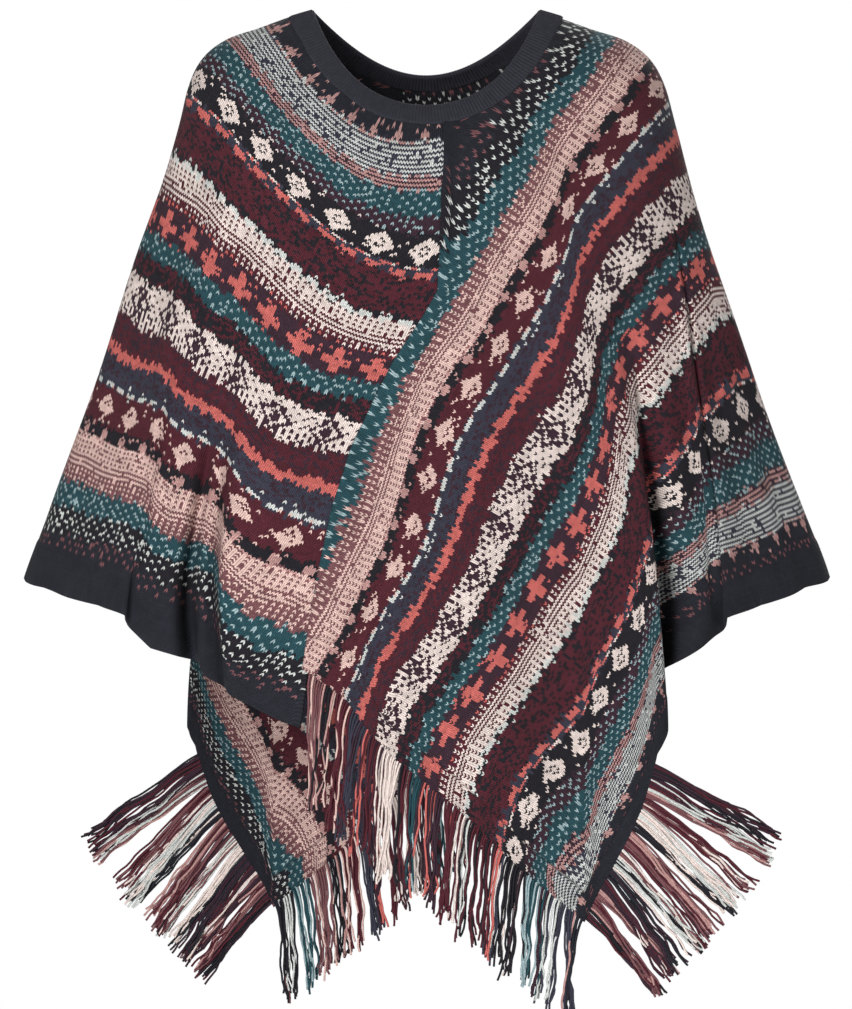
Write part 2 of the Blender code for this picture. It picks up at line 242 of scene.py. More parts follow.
# The front seam's line: heights, and degrees round from the middle of the front.
SEAM_Z = (-0.105, -0.130, -0.165, -0.254, -0.274, -0.298, -0.320, -0.345, -0.395, -0.448, -0.544, -0.640)
SEAM_DEG = (7.6, 6.3, 4.4, 2.8, -0.1, -3.7, -6.6, -8.9, -12.7, -14.6, -15.9, -17.6)

# Smaller creases, each from an upper to a lower place on the cloth: ridges where the height is above zero.
Crease = namedtuple("Crease", "top_deg top_z low_deg low_z width_deg height")
CREASES = (
    Crease(-66, -0.10, -61, -0.47, 5.0, -0.0040),
    Crease(-52, -0.16, -55, -0.45, 4.5, 0.0035),
    Crease(-44, -0.24, -38, -0.58, 4.0, -0.0040),
    Crease(-30, -0.20, -27, -0.62, 5.5, 0.0030),
    Crease(-22, -0.33, -20, -0.66, 3.5, -0.0026),
    Crease(-78, -0.07, -20, -0.24, 7.0, 0.0022),
    Crease(-70, -0.14, -12, -0.40, 6.0, -0.0020),
    Crease(14, -0.20, 3, -0.66, 5.0, 0.0030),
    Crease(24, -0.28, 15, -0.76, 4.5, -0.0030),
    Crease(31, -0.16, 24, -0.60, 5.0, 0.0026),
    Crease(47, -0.14, 41, -0.40, 4.0, -0.0030),
    Crease(76, -0.08, 24, -0.26, 7.0, 0.0022),
    Crease(68, -0.16, 30, -0.36, 6.0, -0.0018),
    Crease(66, -0.20, 57, -0.56, 4.0, -0.0038),
    Crease(80, -0.22, 82, -0.52, 5.0, 0.0030),
    Crease(97, -0.16, 99, -0.50, 6.0, -0.0030),
    Crease(117, -0.12, 121, -0.52, 5.0, 0.0030),
    Crease(133, -0.18, 141, -0.55, 4.5, -0.0034),
    Crease(150, -0.22, 158, -0.62, 5.0, 0.0028),
    Crease(168, -0.14, 166, -0.58, 5.5, -0.0030),
    Crease(112, -0.08, 158, -0.26, 8.0, 0.0020),
    Crease(180, -0.20, 186, -0.70, 5.0, 0.0030),
    Crease(196, -0.28, 193, -0.78, 4.5, -0.0028),
    Crease(208, -0.16, 203, -0.64, 5.5, 0.0030),
    Crease(222, -0.18, 214, -0.50, 5.0, -0.0030),
    Crease(238, -0.14, 232, -0.52, 4.5, 0.0028),
    Crease(254, -0.20, 258, -0.52, 5.5, -0.0032),
    Crease(246, -0.08, 200, -0.28, 8.0, 0.0020),
    Crease(276, -0.16, 282, -0.50, 6.0, 0.0030),
    Crease(44.2, -0.31, 33.0, -0.76, 1.0, -0.0340),  # behind the lapped panel
    Crease(47.6, -0.31, 35.5, -0.74, 1.5, 0.0050),
    Crease(67.6, -0.17, 30.9, -0.75, 1.0, -0.0095),  # where the arm's front drops back
    Crease(65.2, -0.17, 28.5, -0.75, 1.7, 0.0050),
    Crease(-40.2, -0.36, -28.5, -0.80, 1.1, -0.0300),  # between the other arm and the body
    Crease(-43.0, -0.36, -31.3, -0.80, 1.6, 0.0050),
    Crease(-37.6, -0.36, -25.9, -0.80, 1.6, 0.0040),
    Crease(-60, -0.29, -34, -0.70, 2.0, -0.0050),
    Crease(-36.8, -0.35, -24.3, -0.75, 1.0, -0.0090),  # beside the flap
    Crease(-34.4, -0.35, -21.9, -0.75, 1.7, 0.0045),
    Crease(226, -0.285, 214, -0.72, 1.4, -0.0120),
    Crease(134.9, -0.34, 155.3, -0.75, 1.2, -0.0150),
    Crease(247.6, -0.17, 210.9, -0.75, 1.0, -0.0080),
    Crease(143.2, -0.35, 155.7, -0.75, 1.0, -0.0080),
)

# Where a sharp crease takes cloth in, so that the knitting's courses step as they pass it: the crease's line
# in degrees as on the left strip, and the width of cloth that it comes to hide below its top.
Pleat = namedtuple("Pleat", "top_deg top_z low_deg low_z hidden_deg")
PLEATS = (
    Pleat(67.6, -0.17, 30.9, -0.75, 5.0),
    Pleat(143.2, -0.35, 155.7, -0.75, 5.5),
)
PLEAT_EDGE = 0.45  # degrees to each side in which the step is made
PLEAT_REACH = 15.0  # and in which the cloth evens out again
PLEAT_GROWTH = 0.14  # height from its top to where it hides its full width

# A strip's lower edge, as degrees from its seam and height: the fringed end, then the turned outer edge.
Edge = namedtuple("Edge", "deg z")
FRINGED_END = (
    Edge(0.0, -0.588), Edge(6.0, -0.612), Edge(12.8, -0.664), Edge(21.5, -0.709), Edge(30.0, -0.764),
    Edge(39.0, -0.811),
)
OUTER_EDGE = (
    Edge(39.0, -0.811), Edge(42.3, -0.768), Edge(43.9, -0.737), Edge(45.0, -0.710), Edge(46.5, -0.661),
    Edge(50.5, -0.622), Edge(55.0, -0.591), Edge(59.0, -0.564), Edge(63.0, -0.545), Edge(72.0, -0.533),
    Edge(88.0, -0.520), Edge(107.0, -0.514), Edge(126.0, -0.520), Edge(145.0, -0.533), Edge(152.0, -0.543),
    Edge(157.0, -0.569), Edge(163.0, -0.579), Edge(170.0, -0.609), Edge(175.0, -0.625), Edge(180.0, -0.639),
)
CORNER_DEG = FRINGED_END[-1].deg

# A strip's columns, closer together where the folds are: the degrees from its seam that each run of them
# reaches, and how many it has.
Columns = namedtuple("Columns", "end_deg count")
STRIP_COLUMNS = (
    Columns(CORNER_DEG, 70), Columns(72.0, 128), Columns(107.0, 42), Columns(142.0, 42), Columns(180.0, 111),
)

# How far across the knitting each place on a strip's rim lies: the inner edge is 0 and the outer edge WIDTH.
WIDTH = 0.610
NECK_ACROSS = ((0.0, 0.0), (40.0, 0.030), (180.0, 0.030))  # degrees from the seam, distance across
SEAM_ACROSS = (
    (0.105, 0.0), (0.160, 0.030), (0.215, 0.056), (0.267, 0.064), (0.330, 0.068), (0.450, 0.070),
    (0.520, 0.080), (0.588, 0.108),
)  # depth below the neck, distance across
END_ACROSS = ((0.0, 0.108), (0.467, 0.342), (0.603, 0.392), (0.820, 0.487), (1.0, WIDTH))  # share of the end

# Where courses of each strip's knitting run on the front of the hanging cloth, as the distance across and
# places that they pass in x and z. Between these the cloth lies as smoothly as it can.
Course = namedtuple("Course", "across spots")
LEFT_COURSES = (
    Course(0.046, ((0.130, -0.022), (0.087, -0.078), (0.035, -0.158))),
    Course(0.073, ((0.156, -0.036), (0.108, -0.092), (0.056, -0.171), (0.008, -0.267))),
    Course(0.083, ((0.016, -0.267), (0.0, -0.302), (-0.023, -0.337), (-0.048, -0.386), (-0.066, -0.430))),
    Course(0.145, ((0.189, -0.067), (0.125, -0.157), (0.073, -0.245), (0.025, -0.335), (0.0, -0.377))),
    Course(0.215, ((0.220, -0.143), (0.164, -0.193), (0.116, -0.281), (0.040, -0.448), (0.012, -0.528))),
    Course(0.263, ((0.232, -0.182), (0.189, -0.216), (0.102, -0.395), (0.056, -0.495), (0.010, -0.580))),
    Course(0.313, ((0.243, -0.208), (0.203, -0.245), (0.125, -0.429), (0.079, -0.518), (0.031, -0.599))),
    Course(0.367, ((0.260, -0.256), (0.209, -0.310), (0.164, -0.400), (0.125, -0.518), (0.033, -0.681))),
    Course(0.422, ((0.280, -0.312), (0.234, -0.366), (0.187, -0.478), (0.145, -0.568), (0.056, -0.724))),
    Course(0.487, ((0.296, -0.390), (0.251, -0.412), (0.203, -0.557), (0.155, -0.629), (0.095, -0.750))),
    Course(0.538, ((0.319, -0.435), (0.282, -0.456), (0.212, -0.619), (0.171, -0.691), (0.132, -0.763))),
    Course(0.575, ((0.338, -0.472), (0.298, -0.489), (0.217, -0.655), (0.180, -0.724), (0.135, -0.796))),
)
RIGHT_COURSES = (
    Course(0.125, ((-0.180, -0.050), (-0.141, -0.084), (-0.100, -0.117), (-0.056, -0.146))),
    Course(0.157, ((-0.195, -0.069), (-0.155, -0.103), (-0.115, -0.137), (-0.070, -0.162), (-0.024, -0.193))),
    Course(0.220, ((-0.216, -0.131), (-0.186, -0.148), (-0.118, -0.196), (-0.078, -0.224), (-0.036, -0.259))),
    Course(0.272, ((-0.228, -0.193), (-0.160, -0.227), (-0.095, -0.276), (-0.050, -0.315))),
    Course(0.326, ((-0.257, -0.253), (-0.209, -0.270), (-0.152, -0.310), (-0.084, -0.357))),
    Course(0.368, ((-0.268, -0.281), (-0.214, -0.304), (-0.160, -0.338), (-0.095, -0.388))),
    Course(0.445, ((-0.293, -0.346), (-0.257, -0.360), (-0.209, -0.372), (-0.152, -0.417))),
    Course(0.525, ((-0.315, -0.430), (-0.241, -0.454), (-0.172, -0.493), (-0.115, -0.532))),
    Course(0.567, ((-0.328, -0.451), (-0.265, -0.472), (-0.195, -0.505), (-0.130, -0.559))),
)
COURSE_GRIP = 4000.0  # how firmly those places hold against smoothness
EVENNESS = 500.0  # how much even spacing counts beside smoothness
SOLVE_STEP = 4  # rows and columns from one solved point to the next
FACING = 0.05  # how far the cloth has to look forward to be passed by a course
NEAR = 0.022  # cloth this close to a place may carry it, or else the closest
NEAR_SLACK = 0.002
LAYER_GAP = 0.03  # cloth this far behind the foremost there is another layer
SUM_SCALE = 0.1  # sets the sum of a place's weights beside its distances


def ring_at(level):
    """The rings' values at a level between them, on a smooth curve through them."""
    rings = np.array(RINGS)
    level = np.clip(level, 0.0, LAST_LEVEL)
    ring = np.floor(level).astype(int)
    part = (level - ring)[..., None]
    before = rings[np.maximum(ring - 1, 0)]
    start = rings[ring]
    end = rings[ring + 1]
    after = rings[np.minimum(ring + 2, len(rings) - 1)]
    leave = (end - before) / 2
    arrive = (after - start) / 2
    square = part * part
    cube = square * part
    return ((2 * cube - 3 * square + 1) * start + (cube - 2 * square + part) * leave
            + (3 * square - 2 * cube) * end + (cube - square) * arrive)


def smooth_step(value):
    value = np.clip(value, 0.0, 1.0)
    return value * value * (3 - 2 * value)


def unit(vectors):
    return vectors / np.linalg.norm(vectors, axis=-1, keepdims=True)


def fold_deg(fold, level):
    """Angle of a fold's centre at a level."""
    grown = smooth_step((level - fold.first_ring) / (fold.full_ring - fold.first_ring))
    return fold.start_deg + (fold.hem_deg - fold.start_deg) * grown


def garment(angle_deg, level):
    """Points of the cloth's middle at an angle round the garment and a level from neck to hem."""
    angle = np.radians(angle_deg)
    width, front, back, side_z, front_z, back_z, front_fall = np.moveaxis(ring_at(level), -1, 0)
    ahead = np.cos(angle) >= 0
    reach = np.where(ahead, front, back)
    inward = np.abs(np.cos(angle))
    fall = np.where(ahead, front_fall, BACK_FALL)
    dip = inward ** 2 * (fall + (1 - fall) * inward)
    height = side_z + (np.where(ahead, front_z, back_z) - side_z) * dip
    points = np.stack([width * np.sin(angle), -reach * np.cos(angle), height], -1)
    along = unit(np.stack([width * np.cos(angle), reach * np.sin(angle), np.zeros_like(height)], -1))
    outward = np.stack([along[..., 1], -along[..., 0], np.zeros_like(height)], -1)
    for fold in HALF_FOLDS:
        down = smooth_step((level - fold.first_ring) / (fold.full_ring - fold.first_ring))
        from_centre = angle_deg - fold_deg(fold, level)
        across = ((from_centre + 90) % 180 - 90) / fold.span_deg
        in_front = (from_centre + 90) % 360 < 180
        depth = np.where(in_front, fold.depth, fold.back_depth)
        lean = np.where(in_front, fold.lean, fold.back_lean)
        across = np.clip(across, -1.0, 1.0) * math.pi
        hump = (1 + np.cos(across)) / 2
        swing = -np.sin(across) * (1 + np.cos(across)) / SWING_PEAK
        points += outward * (down * (fold.ridge * hump + depth / 2 * swing))[..., None]
        points += along * (down * lean * swing)[..., None]
    return points


def directions(angle_deg, level):
    """Unit directions along the ring, down the cloth and out of it."""
    small = 0.05
    along = garment(angle_deg + small, level) - garment(angle_deg - small, level)
    down = garment(angle_deg, level + small) - garment(angle_deg, level - small)
    return unit(along), unit(down), unit(np.cross(down, along))


def creased(angle_deg, level):
    """The garment's points with the creases laid on, and the directions there."""
    points = garment(angle_deg, level)
    along, down, outward = directions(angle_deg, level)
    height = points[..., 2]
    rise = np.zeros(height.shape)
    for crease in CREASES:
        share = np.clip((height - crease.top_z) / (crease.low_z - crease.top_z), 0.0, 1.0)
        centre = crease.top_deg + (crease.low_deg - crease.top_deg) * share
        across = ((angle_deg - centre + 180) % 360 - 180) / crease.width_deg
        rise += crease.height * np.sin(math.pi * share) * np.exp(-across ** 2)
    turn = np.radians(angle_deg)
    rise += sum(tall * np.sin(waves * turn + climb * height + start) for tall, waves, climb, start in RIPPLES)
    return points + outward * rise[..., None], along, down, outward


def level_at(height):
    """The level of the front ring at a height; low rings are flat, so it holds all round there."""
    levels = np.linspace(0.0, LAST_LEVEL, LEVEL_SAMPLES)
    heights = ring_at(levels)[:, 4]
    return np.interp(-height, -heights, levels)


def seam_deg(level):
    """Angle of the front seam at a level."""
    height = ring_at(level)[..., 4]
    return np.interp(-height, [-z for z in SEAM_Z], SEAM_DEG)


def strip_columns():
    """Degrees from the seam of a strip's columns."""
    starts = [0.0] + [part.end_deg for part in STRIP_COLUMNS]
    parts = [np.linspace(start, part.end_deg, part.count, endpoint=False)
             for start, part in zip(starts, STRIP_COLUMNS)]
    return np.append(np.concatenate(parts), starts[-1])


def lower_edge(columns):
    """Heights of a strip's lower edge at degrees from its seam."""
    end_deg, end_z = zip(*FRINGED_END)
    outer_deg, outer_z = zip(*OUTER_EDGE)
    return np.where(columns < CORNER_DEG, np.interp(columns, end_deg, end_z),
                    np.interp(columns, outer_deg, outer_z))


def column_angles(columns, levels):
    """Angles at one row of levels for columns given as degrees from the seam at the hem: each column keeps
    its place between the seams and the folds, which drift as they run down."""
    at_hem = [SEAM_DEG[-1]] + [fold.hem_deg for fold in HALF_FOLDS] + [SEAM_DEG[-1] + 180.0]
    here = [seam_deg(levels)] + [fold_deg(fold, levels) for fold in HALF_FOLDS] + [seam_deg(levels) + 180.0]
    place = columns + SEAM_DEG[-1]
    angles = np.zeros(len(columns))
    for start, end, start_here, end_here in zip(at_hem, at_hem[1:], here, here[1:]):
        inside = (place >= start) & (place <= end)
        along = (place - start) / (end - start)
        angles = np.where(inside, start_here + (end_here - start_here) * along, angles)
    return angles


def strip_grid(turn_deg):
    """Angles, levels and share of the hem's depth at a strip's rows and columns."""
    columns = strip_columns()
    hem_z = lower_edge(columns)
    start, full = HEM_ROW_DEG
    from_seam = smooth_step((np.minimum(columns, 180.0 - columns) - start) / (full - start))
    low_z = LOW_ROW_Z + (hem_z + HEM_DEPTH + HEM_STEP - LOW_ROW_Z) * from_seam
    body = np.linspace(0.0, 1.0, BODY_ROWS)[:, None]
    hem = np.linspace(0.0, 1.0, HEM_ROWS + 1)[1:, None]
    levels = np.concatenate([FIRST_LEVEL + (level_at(low_z) - FIRST_LEVEL) * body,
                             level_at(low_z + (hem_z - low_z) * hem)])
    in_hem = np.concatenate([body * 0.0, hem]) * np.ones(len(columns))
    angles = np.stack([column_angles(columns, row) for row in levels])
    return angles + turn_deg, levels, in_hem


def grid_links(points):
    """Neighbours on a grid of points, as the start, end and ease of each link, the links' balance matrix and
    each point's own area."""
    rows, columns = points.shape[:2]
    index = np.arange(rows * columns).reshape(rows, columns)
    across = np.linalg.norm(np.diff(points, axis=1), axis=-1)
    down = np.linalg.norm(np.diff(points, axis=0), axis=-1)
    down_at = np.concatenate([down[:1], (down[1:] + down[:-1]) / 2, down[-1:]])
    across_at = np.concatenate([across[:, :1], (across[:, 1:] + across[:, :-1]) / 2, across[:, -1:]], axis=1)
    side_ease = (down_at[:, 1:] + down_at[:, :-1]) / 2 / across
    down_ease = (across_at[1:] + across_at[:-1]) / 2 / down
    links = ((index[:, :-1].ravel(), index[:, 1:].ravel(), side_ease.ravel()),
             (index[:-1].ravel(), index[1:].ravel(), down_ease.ravel()))
    balance = np.zeros((rows * columns, rows * columns))
    for start, end, ease in links:
        for one, other in ((start, end), (end, start)):
            balance[one, other] -= ease
            np.add.at(balance, (one, one), ease)
    return links, balance, (down_at * across_at).ravel()


def course_pins(points, outward):
    """For each place on the courses, the grid points round it, their weights and the distance across there.
    The grid is the left strip's; half a turn on it is the right one's."""
    pins = []
    for turn, course in [(1.0, each) for each in LEFT_COURSES] + [(-1.0, each) for each in RIGHT_COURSES]:
        for x, z in course.spots:
            gap = np.hypot(points[..., 0] * turn - x, points[..., 2] - z)
            gap = np.where(outward[..., 1] * turn < -FACING, gap, 1.0)
            near = gap < max(NEAR, gap.min() + NEAR_SLACK)
            front = (points[..., 1] * turn)[near].min()
            gap = np.where(points[..., 1] * turn < front + LAYER_GAP, gap, 1.0)
            row, column = np.unravel_index(np.argmin(gap), gap.shape)
            row = int(np.clip(row, 1, gap.shape[0] - 2))
            column = int(np.clip(column, 1, gap.shape[1] - 2))
            around = (slice(row - 1, row + 2), slice(column - 1, column + 2))
            spots = points[around].reshape(-1, 3)
            sums = np.stack([spots[:, 0] * turn, spots[:, 2], np.full(len(spots), SUM_SCALE)])
            weights = np.linalg.lstsq(sums, np.array([x, z, SUM_SCALE]), rcond=None)[0]
            ids = np.arange(gap.size).reshape(gap.shape)[around].ravel()
            pins.append((ids, weights, course.across))
    return pins


def knit_places():
    """Where each point of a strip's grid lies in the knitting: along from the fringed end, and across."""
    angles, levels, _ = strip_grid(0.0)
    columns = strip_columns()
    corner = int(np.argmin(np.abs(columns - CORNER_DEG)))
    rows = np.unique(np.append(np.arange(0, levels.shape[0], SOLVE_STEP), levels.shape[0] - 1))
    picks = np.unique(np.concatenate([np.arange(0, len(columns), SOLVE_STEP), [corner, len(columns) - 1]]))
    coarse = np.ix_(rows, picks)
    points = garment(angles[coarse], levels[coarse])
    outward = directions(angles[coarse], levels[coarse])[2]
    end = columns[picks] <= CORNER_DEG

    def shares(line):
        reach = np.concatenate([[0.0], np.cumsum(np.linalg.norm(np.diff(line, axis=0), axis=1))])
        return reach / reach[-1]

    across = np.full(points.shape[:2], np.nan)
    across[0] = np.interp(columns[picks], *zip(*NECK_ACROSS))
    across[-1] = WIDTH
    across[-1, end] = np.interp(shares(points[-1, end]), *zip(*END_ACROSS))
    across[:, 0] = np.interp(-points[:, 0, 2], *zip(*SEAM_ACROSS))
    across[:, -1] = NECK_ACROSS[-1][1] + shares(points[:, -1]) * (WIDTH - NECK_ACROSS[-1][1])
    links, balance, area = grid_links(points)
    goal = EVENNESS * balance
    for row, size in zip(balance, area):
        ids = np.flatnonzero(row)
        goal[np.ix_(ids, ids)] += np.outer(row[ids], row[ids]) / size
    pull = np.zeros(area.size)
    for ids, weights, value in course_pins(points, outward):
        goal[np.ix_(ids, ids)] += COURSE_GRIP * np.outer(weights, weights)
        pull[ids] += COURSE_GRIP * weights * value
    known = across.ravel()
    free = np.isnan(known)
    known[free] = np.linalg.solve(goal[np.ix_(free, free)],
                                  pull[free] - goal[np.ix_(free, ~free)] @ known[~free])
    across = known.reshape(points.shape[:2])

    # The other direction follows from it: a quarter turn from the way across, at the same scale.
    side, down = np.gradient(points, axis=1), np.gradient(points, axis=0)
    by_side, by_down = np.gradient(across, axis=1), np.gradient(across, axis=0)
    side_side, side_down, down_down = (side * side).sum(-1), (side * down).sum(-1), (down * down).sum(-1)
    slope = ((down_down * by_side - side_down * by_down)[..., None] * side
             + (side_side * by_down - side_down * by_side)[..., None] * down)
    slope /= (side_side * down_down - side_down ** 2)[..., None]
    heading = unit(np.cross(outward, slope)).reshape(-1, 3)
    spots = points.reshape(-1, 3)
    flow = np.zeros(area.size)
    for start, finish, ease in links:
        rise = ease * ((heading[start] + heading[finish]) / 2 * (spots[finish] - spots[start])).sum(-1)
        np.add.at(flow, finish, rise)
        np.add.at(flow, start, -rise)
    balance[0] = 0.0
    balance[0, 0] = 1.0
    flow[0] = 0.0
    along = np.linalg.solve(balance, flow).reshape(points.shape[:2])
    places = []
    for solved in (along - along.min(), across):
        wide = np.stack([np.interp(np.arange(len(columns)), picks, row) for row in solved])
        places.append(np.stack([np.interp(np.arange(levels.shape[0]), rows, column) for column in wide.T], 1))
    return np.stack(places, -1)


def pleated(places):
    """The same places where the pleats take cloth in, with a step at each pleat."""
    angles, levels, _ = strip_grid(0.0)
    height = garment(angles, levels)[..., 2]
    moved = angles.copy()
    for pleat in PLEATS:
        lean = (pleat.low_deg - pleat.top_deg) * (height - pleat.top_z) / (pleat.low_z - pleat.top_z)
        beyond = angles - (pleat.top_deg + lean)
        step = np.clip(beyond / PLEAT_EDGE, -1.0, 1.0) * smooth_step(1.0 - np.abs(beyond) / PLEAT_REACH)
        moved += pleat.hidden_deg / 2 * step * smooth_step((pleat.top_z - height) / PLEAT_GROWTH)
    return np.stack([np.stack([np.interp(to, at, row) for to, at, row in zip(moved, angles, part)])
                     for part in np.moveaxis(places, -1, 0)], -1)


def link_mesh(name, points, faces, finish):
    """A smooth mesh object from points and faces of four corners."""
    mesh = bpy.data.meshes.new(name)
    mesh.from_pydata(points.tolist(), [], faces)
    mesh.materials.append(finish)
    mesh.shade_smooth()
    made = bpy.data.objects.new(name, mesh)
    scene.collection.objects.link(made)
    return made


def at_corners(made, values):
    """The values of a mesh's points, given to each corner of its faces."""
    corners = np.empty(len(made.data.loops), dtype=np.int32)
    made.data.loops.foreach_get("vertex_index", corners)
    return values[corners]


def strip_shell(name, turn_deg, finish, places):
    """One strip as a thin shell with rounded edges, whose points have places in the flat knitting. Also
    returns its lower edge and the directions there."""
    angles, levels, in_hem = strip_grid(turn_deg)
    points, along, down, outward = creased(angles, levels)
    steps = np.linalg.norm(np.diff(points, axis=1, prepend=points[:, :1]), axis=-1)
    from_edge = np.cumsum(steps, axis=1)
    over = smooth_step(1.0 - from_edge / LAP_WIDTH)[..., None]
    under = smooth_step(1.0 - (from_edge[:, -1:] - from_edge) / LAP_WIDTH)[..., None]
    points = points + along * SEAM_LAP * under + outward * SEAM_RISE * over
    thickness = np.full(levels.shape, WALL)
    turned = smooth_step(in_hem * (HEM_DEPTH + HEM_STEP) / HEM_STEP)
    past_corner = strip_columns() > CORNER_DEG
    thickness[:, past_corner] += (HEM_EXTRA * turned)[:, past_corner]
    outer = points + outward * (thickness - WALL / 2)[..., None]
    inner = points - outward * WALL / 2
    rows, columns = levels.shape
    rim = ([(0, c) for c in range(columns)] + [(r, columns - 1) for r in range(1, rows)]
           + [(rows - 1, c) for c in range(columns - 2, -1, -1)] + [(r, 0) for r in range(rows - 2, 0, -1)])
    rim_rows, rim_columns = np.array(rim).T
    inside_rows = np.clip(rim_rows, 1, rows - 2)
    inside_columns = np.clip(rim_columns, 1, columns - 2)
    away = unit(points[rim_rows, rim_columns] - points[inside_rows, inside_columns])
    away = away * (thickness[rim_rows, rim_columns] * ROLL)[:, None]
    edge = (outer + inner)[rim_rows, rim_columns] / 2 + away
    grid = np.arange(rows * columns).reshape(rows, columns)
    inner_start = rows * columns
    quads = np.stack([grid[:-1, :-1], grid[1:, :-1], grid[1:, 1:], grid[:-1, 1:]], -1).reshape(-1, 4)
    faces = quads.tolist() + (quads[:, ::-1] + inner_start).tolist()
    rim_start = 2 * inner_start
    ring = grid[rim_rows, rim_columns]
    for here in range(len(rim)):
        beside = (here + 1) % len(rim)
        faces.append((int(ring[here]), int(ring[beside]), rim_start + beside, rim_start + here))
        faces.append((rim_start + here, rim_start + beside, int(ring[beside]) + inner_start,
                      int(ring[here]) + inner_start))
    made = link_mesh(name, np.concatenate([outer.reshape(-1, 3), inner.reshape(-1, 3), edge]), faces, finish)
    flat = places.reshape(-1, 2)
    flat = at_corners(made, np.concatenate([flat, flat, places[rim_rows, rim_columns]]))
    made.data.uv_layers.new(name="knit_place").data.foreach_set("uv", flat.ravel())
    return made, points[-1], outward[-1]


def shade(red, green, blue):
    """A paint chip's 0 to 255 values as the light the shader works in."""
    return tuple(((part / 255 + 0.055) / 1.055) ** 2.4 if part > 10 else part / 3294.6
                 for part in (red, green, blue)) + (1.0,)


YARN_DEPTH = 0.70  # the chips are as they look under these lamps; the yarn itself is darker
CHARCOAL = shade(38, 39, 47)
INK = shade(33, 31, 37)
PLUM = shade(58, 38, 49)
BURGUNDY = shade(82, 34, 44)
RUST = shade(119, 78, 82)
ROSE = shade(186, 143, 139)
BLUSH = shade(221, 187, 178)
CORAL = shade(201, 104, 98)
CREAM = shade(230, 214, 207)
PEARL = shade(205, 208, 204)
SLATE = shade(56, 56, 70)
TEAL = shade(38, 72, 80)
MIST = shade(150, 172, 176)

# The knitting's bands across a strip: where each ends in metres, its motif, ground and figure colours, and
# how many stitches the motif takes before it comes again.
PLAIN, LOZENGES, RINGED, DOTS, ROWS, CROSSES, TRIANGLES, BLOCKS, DASHES, FLECKS, GRADED = range(11)
Band = namedtuple("Band", "end motif ground figure repeat")
BANDS = (
    Band(0.0205, PLAIN, CHARCOAL, CHARCOAL, 8),
    Band(0.0330, DOTS, CHARCOAL, RUST, 8),
    Band(0.0560, DOTS, INK, PEARL, 8),
    Band(0.0810, DOTS, TEAL, MIST, 8),
    Band(0.1240, GRADED, RUST, BLUSH, 8),
    Band(0.1400, TRIANGLES, INK, ROSE, 10),
    Band(0.1720, LOZENGES, BURGUNDY, BLUSH, 14),
    Band(0.1820, DASHES, SLATE, PEARL, 6),
    Band(0.2040, FLECKS, SLATE, PLUM, 8),
    Band(0.2130, PLAIN, CORAL, CORAL, 8),
    Band(0.2400, FLECKS, BURGUNDY, PLUM, 8),
    Band(0.2800, RINGED, CREAM, PLUM, 16),
    Band(0.3000, FLECKS, INK, BURGUNDY, 8),
    Band(0.3180, DOTS, TEAL, MIST, 8),
    Band(0.3480, CROSSES, PLUM, CORAL, 12),
    Band(0.3820, GRADED, BURGUNDY, CREAM, 8),
    Band(0.3900, DASHES, INK, PEARL, 6),
    Band(0.4300, FLECKS, BURGUNDY, INK, 8),
    Band(0.4430, BLOCKS, SLATE, CORAL, 8),
    Band(0.4780, LOZENGES, INK, CREAM, 14),
    Band(0.4940, DOTS, PLUM, MIST, 8),
    Band(0.5180, DOTS, TEAL, MIST, 8),
    Band(0.5320, ROWS, PLUM, ROSE, 8),
    Band(0.5650, ROWS, SLATE, PEARL, 8),
    Band(0.5800, TRIANGLES, CHARCOAL, ROSE, 10),
    Band(0.5910, DOTS, CHARCOAL, RUST, 8),
    Band(WIDTH, PLAIN, CHARCOAL, CHARCOAL, 8),
)
STITCH_WIDTH = 0.0029
STITCH_HEIGHT = 0.0023
STITCH_SLANT = 0.9  # rows that a stitch's legs climb from its middle to its side
CHART_SCALE = 64.0  # keeps whole numbers of stitches between 0 and 1 on the chart
RAGGED_RUN = 9.0  # rows after which the bands may step anew
RAGGED_STEP = 3.4  # rows in which they step, from one back to two on
STRAY = 0.955  # chance above which a stitch has its band's other colour


def matt(made, colour, relief, strength, depth):
    """Gives a material its colour and relief, and the dull finish of knitting and yarn."""
    shader = made.node_tree.nodes["Principled BSDF"]
    bump = colour.node("ShaderNodeBump", inputs={"Strength": strength, "Distance": depth, "Height": relief})
    made.node_tree.links.new(colour.socket, shader.inputs["Base Color"])
    made.node_tree.links.new(bump.socket, shader.inputs["Normal"])
    shader.inputs["Roughness"].default_value = 0.95
    shader.inputs["Specular IOR Level"].default_value = 0.15
    return made


